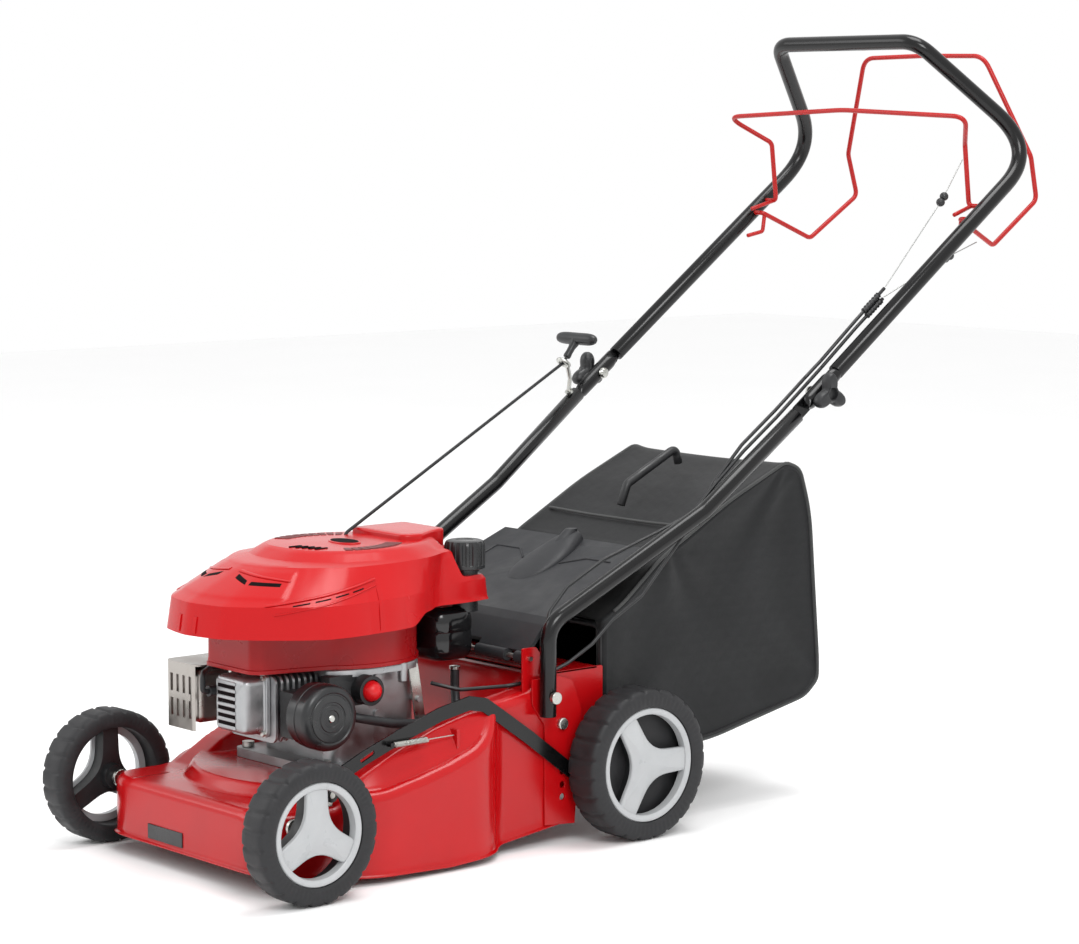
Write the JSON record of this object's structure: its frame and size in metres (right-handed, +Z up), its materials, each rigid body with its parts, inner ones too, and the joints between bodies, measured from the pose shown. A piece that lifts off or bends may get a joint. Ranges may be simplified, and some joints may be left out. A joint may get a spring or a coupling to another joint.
{
  "type": "push lawn mower",
  "caption": "Petrol walk-behind rotary mower with a red pressed deck, vertical-shaft engine, folding tube handle with stop and drive bails, sprung rear flap and soft grass bag.",
  "frame": {"origin": "on the ground under the middle of the whole machine, on its plane of symmetry", "axes": "+Z up, -Y towards the front of the mower, +X towards the operator's left"},
  "size_m": [0.522, 1.4322, 1.061],
  "materials": {
    "red_deck": "gloss enamel over pressed steel",
    "red_cover": "gloss moulded cover",
    "dark_red_housing": "semi-gloss enamel",
    "black_tube": "gloss black enamel on steel tube",
    "red_wire": "red powder coat on steel wire",
    "black_wire": "black coated steel wire",
    "plated_steel": "zinc plated steel",
    "cast_alloy": "as cast aluminium alloy",
    "silencer_steel": "plated sheet steel",
    "wheel_plastic": "dark grey moulded plastic with light grey trim",
    "black_plastic": "fine grained moulded plastic",
    "tank_plastic": "blown plastic, glossy",
    "red_rubber": "soft translucent bulb",
    "black_rubber": "rubber hose and cable sheath",
    "filter_foam": "open foam",
    "bag_cloth": "woven polyester",
    "rope_cord": "braided cord",
    "flap_plastic": "dark grey ribbed moulding"
  },
  "bodies": {
    "chassis": {"deck": "red_deck", "blank_badge": "black_plastic", "rear_brackets": "red_deck", "chassis_bolts": "plated_steel", "axle_bearings": "black_plastic", "engine_base": "cast_alloy", "crankcase": "cast_alloy", "cylinder": "cast_alloy", "rocker_cover": "cast_alloy", "spark_plug": "black_rubber", "spark_lead": "black_rubber", "muffler": "silencer_steel", "muffler_guard": "silencer_steel", "carburettor": "black_plastic", "air_filter_base": "black_plastic", "air_filter_element": "filter_foam", "air_filter_cover": "black_plastic", "blower_housing": "dark_red_housing", "engine_cover": "red_cover", "fuel_tank": "tank_plastic", "fuel_hose": "black_rubber", "drive_belt": "black_rubber", "gearbox": "cast_alloy", "starter_rope": "rope_cord", "rope_guide": "plated_steel", "lower_handles": "black_tube", "lower_cables": "black_rubber", "flap_rod": "plated_steel", "link_spring": "plated_steel"},
    "primer": {"primer_bulb": "red_rubber"},
    "fuel_cap": {"fuel_cap": "black_plastic"},
    "brake_lever": {"brake_lever": "plated_steel"},
    "crank": {"crankshaft": "plated_steel", "flywheel": "cast_alloy", "blade_adapter": "cast_alloy", "blade": "plated_steel", "blade_bolt": "plated_steel"},
    "gearbox_pulley": {"gearbox_pulley": "plated_steel"},
    "starter_pulley": {"starter_pulley": "black_plastic"},
    "starter_grip": {"starter_grip": "black_plastic"},
    "front_axle": {"front_axle": "plated_steel"},
    "rear_axle": {"rear_axle": "plated_steel", "height_knob": "black_plastic"},
    "height_link": {"height_link": "black_tube"},
    "drive_shaft": {"drive_shaft": "plated_steel"},
    "front_left_wheel": {"front_left_wheel": "wheel_plastic"},
    "front_right_wheel": {"front_right_wheel": "wheel_plastic"},
    "rear_left_wheel": {"rear_left_wheel": "wheel_plastic"},
    "rear_right_wheel": {"rear_right_wheel": "wheel_plastic"},
    "upper_handle": {"upper_handle": "black_tube", "upper_cables": "black_rubber", "bail_wires": "black_wire"},
    "stop_bail": {"stop_bail": "red_wire"},
    "drive_bail": {"drive_bail": "red_wire"},
    "left_star_knob": {"left_star_knob": "black_plastic"},
    "right_star_knob": {"right_star_knob": "black_plastic"},
    "rear_flap": {"rear_flap": "flap_plastic"},
    "grass_bag": {"bag_shell": "bag_cloth", "bag_frame": "black_wire", "bag_handle": "black_plastic"}
  },
  "joints": [
    {"name": "front_axle_turn", "type": "hinge", "parent": "chassis", "child": "front_axle", "pos_m": [0, -0.58253, 0.07074], "axis": [1, 0, 0], "range_deg": [0, 50]},
    {"name": "rear_axle_turn", "type": "hinge", "parent": "chassis", "child": "rear_axle", "pos_m": [0, -0.13332, 0.08324], "axis": [1, 0, 0], "range_deg": [-50, 0]},
    {"name": "height_link_turn", "type": "hinge", "parent": "front_axle", "child": "height_link", "pos_m": [0.179, -0.5614, 0.11606], "axis": [1, 0, 0], "range_deg": [-50, 0]},
    {"name": "front_left_spin", "type": "hinge", "parent": "front_axle", "child": "front_left_wheel", "pos_m": [0.226, -0.62857, 0.0875], "axis": [1, 0, 0], "continuous": true},
    {"name": "front_right_spin", "type": "hinge", "parent": "front_axle", "child": "front_right_wheel", "pos_m": [-0.226, -0.62857, 0.0875], "axis": [1, 0, 0], "continuous": true},
    {"name": "rear_left_spin", "type": "hinge", "parent": "rear_axle", "child": "rear_left_wheel", "pos_m": [0.21, -0.08727, 0.1], "axis": [1, 0, 0], "continuous": true},
    {"name": "rear_right_spin", "type": "hinge", "parent": "rear_axle", "child": "rear_right_wheel", "pos_m": [-0.21, -0.08727, 0.1], "axis": [1, 0, 0], "continuous": true},
    {"name": "drive_shaft_spin", "type": "hinge", "parent": "rear_axle", "child": "drive_shaft", "pos_m": [0, -0.13332, 0.08324], "axis": [1, 0, 0], "continuous": true},
    {"name": "crank_spin", "type": "hinge", "parent": "chassis", "child": "crank", "pos_m": [0, -0.42227, 0.15], "axis": [0, 0, 1], "continuous": true},
    {"name": "gearbox_pulley_spin", "type": "hinge", "parent": "chassis", "child": "gearbox_pulley", "pos_m": [0.06, -0.17527, 0.056], "axis": [0, 0, 1], "continuous": true},
    {"name": "starter_pull", "type": "slide", "parent": "chassis", "child": "starter_grip", "axis": [0, 0.6, 0.8], "range_m": [0, 0.45], "stiffness_N_per_m": 25},
    {"name": "starter_pulley_turn", "type": "hinge", "parent": "chassis", "child": "starter_pulley", "pos_m": [0, -0.42227, 0.314], "axis": [0, 0, 1], "range_deg": [-735, 0]},
    {"name": "primer_push", "type": "slide", "parent": "chassis", "child": "primer", "axis": [-1, 0, 0], "range_m": [0, 0.008], "stiffness_N_per_m": 400},
    {"name": "fuel_cap_turn", "type": "hinge", "parent": "chassis", "child": "fuel_cap", "pos_m": [0.055, -0.25227, 0.37], "axis": [0, 0, 1], "range_deg": [0, 120]},
    {"name": "upper_handle_fold", "type": "hinge", "parent": "chassis", "child": "upper_handle", "pos_m": [0, 0.22373, 0.572], "axis": [1, 0, 0], "range_deg": [0, 75]},
    {"name": "left_knob_turn", "type": "hinge", "parent": "upper_handle", "child": "left_star_knob", "pos_m": [0.24, 0.22373, 0.572], "axis": [1, 0, 0], "range_deg": [0, 360]},
    {"name": "right_knob_turn", "type": "hinge", "parent": "upper_handle", "child": "right_star_knob", "pos_m": [-0.24, 0.22373, 0.572], "axis": [1, 0, 0], "range_deg": [0, 360]},
    {"name": "stop_bail_swing", "type": "hinge", "parent": "upper_handle", "child": "stop_bail", "pos_m": [0, 0.55473, 0.818], "axis": [-1, 0, 0], "range_deg": [0, 34], "stiffness_Nm_per_rad": 1.5},
    {"name": "drive_bail_swing", "type": "hinge", "parent": "upper_handle", "child": "drive_bail", "pos_m": [0, 0.53073, 0.8], "axis": [1, 0, 0], "range_deg": [0, 30], "stiffness_Nm_per_rad": 1},
    {"name": "brake_lever_swing", "type": "hinge", "parent": "chassis", "child": "brake_lever", "pos_m": [0.088, -0.35727, 0.2], "axis": [-1, 0, 0], "range_deg": [0, 12]},
    {"name": "rear_flap_swing", "type": "hinge", "parent": "chassis", "child": "rear_flap", "pos_m": [0, -0.23327, 0.248], "axis": [1, 0, 0], "range_deg": [0, 25], "stiffness_Nm_per_rad": 0.6},
    {"name": "bag_slide", "type": "slide", "parent": "chassis", "child": "grass_bag", "axis": [0, 0.9536, 0.3011], "range_m": [0, 0.3]}
  ],
  "couplings": [
    {"joint": "rear_axle_turn", "follows": "front_axle_turn", "ratio": -1},
    {"joint": "height_link_turn", "follows": "front_axle_turn", "ratio": -1},
    {"joint": "drive_shaft_spin", "follows": "rear_left_spin", "ratio": 5.4545},
    {"joint": "rear_right_spin", "follows": "rear_left_spin", "ratio": 1},
    {"joint": "starter_pulley_turn", "follows": "starter_pull", "rad_per_m": -28.41},
    {"joint": "brake_lever_swing", "follows": "stop_bail_swing", "ratio": 0.33333}
  ]
}
